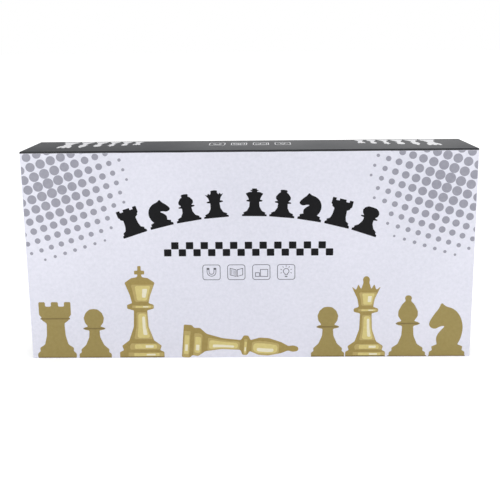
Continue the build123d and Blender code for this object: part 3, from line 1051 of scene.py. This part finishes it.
def square_wood(name, dark, light, deepest_tint):
    """Veneer whose tone changes a little from square to square."""
    finish, tree, shader = start_finish(name, Specular_IOR_Level=0.4, Coat_Weight=0.25)
    wood = use_group(tree, checked)
    tone = ramp(tree, wood.outputs["Figure"], [(0.3, display(*dark)), (0.68, display(*light))])
    tint = ramp(tree, wood.outputs["Tone"], [(0.0, deepest_tint), (1.0, (1, 1, 1, 1))])
    tree.links.new(multiplied(tree, tone, tint, 1.0), shader.inputs["Base Color"])
    wear_as_roughness(tree, shader, wood.outputs["Figure"], 0.3, 0.42)
    add_bump(tree, shader, wood.outputs["Height"], 0.2, 0.1 * MM)
    return finish


walnut_panel = frame_wood("oiled_walnut_panel", (66, 40, 24), (112, 72, 44))
walnut_rail = frame_wood("oiled_walnut_rail", (60, 36, 22), (104, 66, 40))
maple_square = square_wood("maple_veneer_squares", (206, 170, 118), (230, 200, 152), (0.88, 0.85, 0.8, 1))
walnut_square = square_wood("walnut_veneer_squares", (84, 50, 30), (126, 82, 52), (0.78, 0.74, 0.72, 1))
dress(walnut_panel, "back_panel", "front_panel")
dress(walnut_rail, "back_rails", "front_rails")
dress(maple_square, "back_light_squares", "front_light_squares")
dress(walnut_square, "back_dark_squares", "front_dark_squares")
print("woods", walnut_panel.name, walnut_rail.name, maple_square.name, walnut_square.name)

# %% [markdown]
# ## Turned and lacquered men
# The men are turned from straight-grained wood, so their grain runs up the figure, with pores as short
# dark ticks. A thin clear lacquer lies over the stain. It could be a second, glassy shell, but that is
# far too thin to model, so it is the shader's coat.


# %% Wood of the men
def man_wood(name, dark, light, tick):
    """Turned wood with upright grain under a clear lacquer."""
    finish, tree, shader = start_finish(name, Specular_IOR_Level=0.45, Coat_Weight=0.5, Coat_Roughness=0.12)
    figure_noise = grain_along(tree, (1, 1, 0.16), 260.0)
    pore_noise = grain_along(tree, (1, 1, 0.06), 1700.0)
    tone = ramp(tree, figure_noise, [(0.3, display(*dark)), (0.68, display(*light))])
    ticks = ramp(tree, pore_noise, [(0.32, tick), (0.42, (1, 1, 1, 1))])
    tree.links.new(multiplied(tree, tone, ticks, 0.6), shader.inputs["Base Color"])
    wear_as_roughness(tree, shader, figure_noise, 0.32, 0.46)
    add_bump(tree, shader, pore_noise, 0.15, 0.1 * MM)
    return finish


dark_man = man_wood("stained_dark_men", (52, 28, 18), (88, 52, 34), (0.5, 0.45, 0.42, 1))
light_man = man_wood("boxwood_light_men", (214, 178, 122), (234, 206, 156), (0.75, 0.66, 0.55, 1))
MAN_NODES = ("pawns", "rooks", "knights", "bishops", "queens", "king")
dress(dark_man, *[f"dark_{kind}" for kind in MAN_NODES])
dress(light_man, *[f"light_{kind}" for kind in MAN_NODES])
print("men dressed", 2 * len(MAN_NODES), "nodes")

# %% [markdown]
# ## Carving the knights
# The knight's head is sawn from a flat blank and then carved. Sculpting it would be freer, but would not
# come out the same each time. A copy of the solid, with its loose triangles merged, gets its sharp
# outline rounded by a bevel in edit mode, a sunk cheek on each side by an inset, and an eye, a mouth and
# a scalloped mane by a Boolean with small rods and balls, which is close to what the carver's gouge
# does. Weighted normals then keep the flat cheeks flat in the light.


# %% Working on a merged copy
def merged_copy(name, node_name, flat_above=None):
    """A copy of a CAD node as one closed mesh, its flat faces whole above a level, or all over."""
    select_only(frame["nodes"][node_name])
    bpy.ops.object.duplicate()
    copy = bpy.context.view_layer.objects.active
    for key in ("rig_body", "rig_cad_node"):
        if key in copy:
            del copy[key]
    copy.parent = None
    copy.name = name
    copy.data.name = name
    bpy.ops.object.mode_set(mode="EDIT")
    bpy.ops.mesh.select_all(action="SELECT")
    bpy.ops.mesh.remove_doubles(threshold=0.00001)
    bpy.ops.mesh.normals_make_consistent(inside=False)
    if flat_above is not None:
        vertices = copy.data.vertices
        pick(copy, "polygons", lambda face: all(vertices[i].co.z > flat_above for i in face.vertices))
    bpy.ops.mesh.dissolve_limited(angle_limit=math.radians(0.5))
    bpy.ops.object.mode_set(mode="OBJECT")
    return copy


def finish_copy(copy, node_name, finish, body):
    """Gives the copy its finish and puts it in the node's place."""
    copy.data.materials.clear()
    copy.data.materials.append(finish)
    select_only(copy)
    bpy.ops.object.shade_smooth_by_angle(angle=math.radians(40))
    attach(copy, body)
    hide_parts(node_name)


# %% Two knights of each side
HEAD_HALF = 3.6 * MM
ABOVE_FOOT = 9.2 * MM
KNIGHT_REACH = 9.0 * MM
OUTLINE_ROUND = 1.5 * MM
CHEEK_RIM = 0.7 * MM
CHEEK_DEPTH = 0.5 * MM
CHEEK_LEVEL = 14 * MM
CHEEK_AREA = 20 * MM * MM
MANE = [(2.9, 38.9), (5.4, 35.0), (6.6, 30.5), (6.95, 26.0), (6.7, 21.4), (6.1, 16.6)]
MANE_ROD = 0.85
EYE = (-2.9, 35.2)
EYE_BALL = 1.1
MOUTH = (-7.6, 27.4)
MOUTH_ROD = 0.45
ROD_LENGTH = 12 * MM


def carve_knights(node_name, wood, body):
    """Rounds and carves both knights of one side."""
    low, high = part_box(node_name)
    middle_y = (low.y + high.y) / 2
    head_z = low.z + ABOVE_FOOT
    knights = merged_copy(f"carved_{node_name}", node_name, head_z)

    def on_outline(edge):
        ends = [knights.data.vertices[index].co for index in edge.vertices]
        return all(abs(abs(end.y - middle_y) - HEAD_HALF) < 0.02 * MM and end.z > head_z for end in ends)

    def is_cheek(face):
        flat = abs(face.normal.y) > 0.999
        return flat and face.center.z > low.z + CHEEK_LEVEL and face.area > CHEEK_AREA

    pick(knights, "edges", on_outline)
    bpy.ops.mesh.select_mode(type="EDGE")
    bpy.ops.mesh.bevel(offset=OUTLINE_ROUND, segments=4, profile=0.55, clamp_overlap=True)
    bpy.ops.mesh.select_mode(type="FACE")
    pick(knights, "polygons", is_cheek)
    bpy.ops.mesh.inset(thickness=CHEEK_RIM, depth=-CHEEK_DEPTH)
    bpy.ops.mesh.select_mode(type="VERT")
    bpy.ops.object.mode_set(mode="OBJECT")
    cutters = []
    for foot_x in (low.x + KNIGHT_REACH, high.x - KNIGHT_REACH):
        rods = [(place, MANE_ROD) for place in MANE] + [(MOUTH, MOUTH_ROD)]
        for (u, v), radius in rods:
            bpy.ops.object.select_all(action="DESELECT")
            bpy.ops.mesh.primitive_cylinder_add(
                vertices=12,
                radius=radius * MM,
                depth=ROD_LENGTH,
                location=(foot_x + u * MM, middle_y, low.z + v * MM),
                rotation=(math.radians(90), 0, 0),
            )
            cutters.append(bpy.context.active_object)
        for side in (-1, 1):
            bpy.ops.object.select_all(action="DESELECT")
            bpy.ops.mesh.primitive_uv_sphere_add(
                segments=12,
                ring_count=8,
                radius=EYE_BALL * MM,
                location=(foot_x + EYE[0] * MM, middle_y + side * HEAD_HALF, low.z + EYE[1] * MM),
            )
            cutters.append(bpy.context.active_object)
    gouges = join(f"gouges_{node_name}", cutters)
    bake_place(gouges)
    apply_modifier(knights, "BOOLEAN", operation="DIFFERENCE", object=gouges, solver="EXACT")
    bpy.data.objects.remove(gouges)
    finish_copy(knights, node_name, wood, body)
    apply_modifier(knights, "WEIGHTED_NORMAL", keep_sharp=True)
    print(knights.name, len(knights.data.polygons), "faces")


carve_knights("dark_knights", dark_man, "dark_knights_body")
carve_knights("light_knights", light_man, "light_knights_body")

# %% [markdown]
# ## Brass, steel and magnets
# The hinges are stamped brass, a little dulled by the hand. Below the squares lies a zinc-plated steel
# sheet, and the magnets are nickel-plated. Each metal could be one even tone, but its own pattern of
# gloss is what tells bare metals apart, so each gets a noise of its own scale.


# %% Metal finishes
def metal(name, dull, bright, rough_low, rough_high, scale, stretch=(1, 1, 1)):
    """A metal whose tone and gloss change with a fine noise."""
    finish, tree, shader = start_finish(name, Metallic=1.0)
    wear = noise(tree, object_coordinates(tree, stretch), scale, detail=6.0, roughness=0.6)
    tone = ramp(tree, wear, [(0.35, display(*dull)), (0.65, display(*bright))])
    tree.links.new(tone, shader.inputs["Base Color"])
    wear_as_roughness(tree, shader, wear, rough_low, rough_high)
    add_bump(tree, shader, wear, 0.08, 0.05 * MM)
    return finish


brass_leaf = metal("stamped_brass", (186, 148, 80), (214, 178, 108), 0.24, 0.4, 220.0)
brass_pin = metal("turned_brass", (176, 138, 74), (206, 170, 100), 0.2, 0.36, 600.0)
zinc_steel = metal("zinc_plated_steel", (142, 146, 152), (178, 182, 188), 0.3, 0.5, 90.0, (0.3, 1, 1))
nickel = metal("nickel_plated_magnet", (176, 174, 168), (206, 204, 200), 0.16, 0.32, 500.0)
magnet_nodes = [name for name in frame["nodes"] if name.endswith(("_magnet", "_magnets"))]
dress(brass_leaf, "back_hinge_leaves", "front_hinge_leaves")
dress(brass_pin, "hinge_pins", "back_hinge_screws", "front_hinge_screws")
dress(zinc_steel, "back_steel_sheet", "front_steel_sheet")
dress(nickel, *magnet_nodes)
print("magnet nodes", len(magnet_nodes))

# %% [markdown]
# ## Foam and felt
# The trays are cut from dark foam sheet, the end pads from pale packing foam, and a disc of green felt
# is glued under every man. These are soft, so the frame's sharp solids only show where they are. A cloth
# simulation would gain nothing on pieces that lie flat, so each is a copy of its solid, with its loose
# triangles merged and its edges rounded by a bevel, as a die or a hot wire leaves them.


# %% Soft finishes
PAD_ROUND = 1.2 * MM
TRAY_ROUND = 0.5 * MM
FELT_ROUND = 0.25 * MM


def soft_finish(name, dark, light, fineness, rough, sheen, height):
    """A matt surface with a fine nap."""
    finish, tree, shader = start_finish(name, Specular_IOR_Level=0.15, Sheen_Weight=sheen)
    fibre = use_group(tree, nap, Fineness=fineness).outputs["Height"]
    tone = ramp(tree, fibre, [(0.32, display(*dark)), (0.68, display(*light))])
    tree.links.new(tone, shader.inputs["Base Color"])
    wear_as_roughness(tree, shader, fibre, rough - 0.06, rough + 0.04)
    add_bump(tree, shader, fibre, 0.6, height)
    return finish


dark_foam = soft_finish("dark_foam_sheet", (40, 40, 44), (66, 66, 72), 1100.0, 0.92, 0.1, 0.3 * MM)
pale_foam = soft_finish("pale_packing_foam", (206, 206, 202), (232, 232, 229), 420.0, 0.86, 0.05, 0.6 * MM)
green_felt = soft_finish("green_felt", (18, 74, 46), (40, 112, 72), 1600.0, 0.94, 0.4, 0.3 * MM)


def soft_copy(name, node_name, finish, body, edge_radius, segments=2):
    """A merged, rounded copy of a CAD node that stands for it."""
    copy = merged_copy(name, node_name)
    apply_modifier(copy, "BEVEL", width=edge_radius, segments=segments, limit_method="ANGLE",
                   angle_limit=math.radians(40), use_clamp_overlap=True)
    finish_copy(copy, node_name, finish, body)
    return copy


for end_name in ("left", "right"):
    pad_name, pad_node = f"packing_pad_{end_name}", f"end_pad_{end_name}"
    pad = soft_copy(pad_name, pad_node, pale_foam, "base", PAD_ROUND, segments=3)
for half_name in ("back", "front"):
    tray_name, tray_node = f"{half_name}_men_tray", f"{half_name}_foam_tray"
    tray = soft_copy(tray_name, tray_node, dark_foam, f"board_{half_name}", TRAY_ROUND)
    print(tray.name, len(tray.data.polygons), "faces")

for node_name in [name for name in frame["nodes"] if name.endswith(("_felt", "_felts"))]:
    colour, kind = node_name.split("_")[:2]
    body = frame["nodes"][node_name]["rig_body"]
    soft_copy(f"{colour}_{kind}_felt_discs", node_name, green_felt, body, FELT_ROUND)

# %% [markdown]
# ## The floor
# The photograph has plain white all round. The floor is a pale matt sheet that keeps a soft shadow. More
# light would whiten it too, but would also wash out the carton, so the sheet glows a little, and only
# for what looks straight at it or mirrors it.


# %% A pale floor
FLOOR_SIZE = 60
FLOOR_GLOW = 0.5


def seen_directly(tree):
    """1 for a ray from the camera, a gloss or a pane, and 0 for one that lights the object."""
    paths = tree.nodes.new("ShaderNodeLightPath")
    seen = math_node(tree, "MAXIMUM", paths.outputs["Is Camera Ray"], paths.outputs["Is Glossy Ray"])
    return math_node(tree, "MAXIMUM", seen, paths.outputs["Is Transmission Ray"])


bpy.ops.object.select_all(action="DESELECT")
bpy.ops.mesh.primitive_plane_add(size=FLOOR_SIZE, location=(0, 0, cad_low.z))
floor = bpy.context.active_object
floor.name = "pale_floor"
floor_finish, tree, shader = start_finish("pale_floor_sheet", Specular_IOR_Level=0.0, Roughness=0.9)
mottle = noise(tree, object_coordinates(tree), 3.0)
pale = ramp(tree, mottle, [(0.3, (0.93, 0.93, 0.93, 1)), (0.7, (0.95, 0.95, 0.95, 1))])
tree.links.new(pale, shader.inputs["Base Color"])
glow = tree.nodes.new("ShaderNodeEmission")
glow.inputs["Color"].default_value = (1, 1, 1, 1)
tree.links.new(math_node(tree, "MULTIPLY", seen_directly(tree), FLOOR_GLOW), glow.inputs["Strength"])
total = tree.nodes.new("ShaderNodeAddShader")
tree.links.new(shader.outputs[0], total.inputs[0])
tree.links.new(glow.outputs[0], total.inputs[1])
tree.links.new(total.outputs[0], tree.nodes["Material Output"].inputs["Surface"])
floor.data.materials.append(floor_finish)
print("floor at", round(floor.location.z / MM, 3), "mm")

# %% [markdown]
# ## White surroundings
# The world is plain white for what looks straight at it. What lights the object is only a part of that,
# so that the pale front of the carton keeps its tone.

# %% The world
AMBIENT = 0.59

world = bpy.data.worlds.new("white_surroundings")
bpy.context.scene.world = world
world.use_nodes = True
tree = world.node_tree
background = tree.nodes["Background"]
background.inputs["Color"].default_value = (1, 1, 1, 1)
gain = math_node(tree, "MULTIPLY", seen_directly(tree), 1 - AMBIENT)
tree.links.new(math_node(tree, "ADD", gain, AMBIENT), background.inputs["Strength"])
print("ambient", AMBIENT)

# %% [markdown]
# ## Lamps
# A studio lights such a carton from both sides, so that the front has no bright spot. Two large soft
# lamps stand low at the left and right in front, and a third hangs high behind, for the top side. All
# three aim at the middle of the carton.

# %% Three soft lamps
LAMPS = {
    "soft_lamp_left": ((-0.8, -0.6, 0.08), 0.6, 4.3),
    "soft_lamp_right": ((0.8, -0.6, 0.08), 0.6, 4.0),
    "soft_lamp_behind": ((0.3, 1.5, 1.4), 1.6, 9.0),
}
AIM = Vector((0, 0, 0.1))
for name, (place, size, power) in LAMPS.items():
    bpy.ops.object.select_all(action="DESELECT")
    bpy.ops.object.light_add(type="AREA", location=place)
    lamp = bpy.context.active_object
    lamp.name = name
    lamp.data.size = size
    lamp.data.energy = power
    lamp.rotation_euler = (AIM - lamp.location).to_track_quat("-Z", "Y").to_euler()
print("lamps", len(LAMPS))

# %% [markdown]
# ## The camera
# The photograph looks from a little above with its lens moved down, which keeps upright edges nearly
# upright. A camera tilted further would show the same top side, but its upright edges would lean. The
# place, angles and lens come from fitting the carton's six visible corners.

# %% The photograph's camera
CAMERA_PLACE = (6.8 * MM, -532.2 * MM, 292.0 * MM)
CAMERA_ANGLES = (81.75, 0.567, 0.505)

bpy.ops.object.select_all(action="DESELECT")
bpy.ops.object.camera_add(
    location=CAMERA_PLACE,
    rotation=[math.radians(angle) for angle in CAMERA_ANGLES],
)
camera = bpy.context.active_object
camera.name = "photo_camera"
camera.data.lens = 41.05
camera.data.sensor_width = 36
camera.data.shift_y = -0.24
camera.data.clip_start = 0.01
bpy.context.scene.camera = camera
bpy.context.scene.view_settings.view_transform = "Standard"
print("camera", [round(v / MM, 1) for v in camera.location])
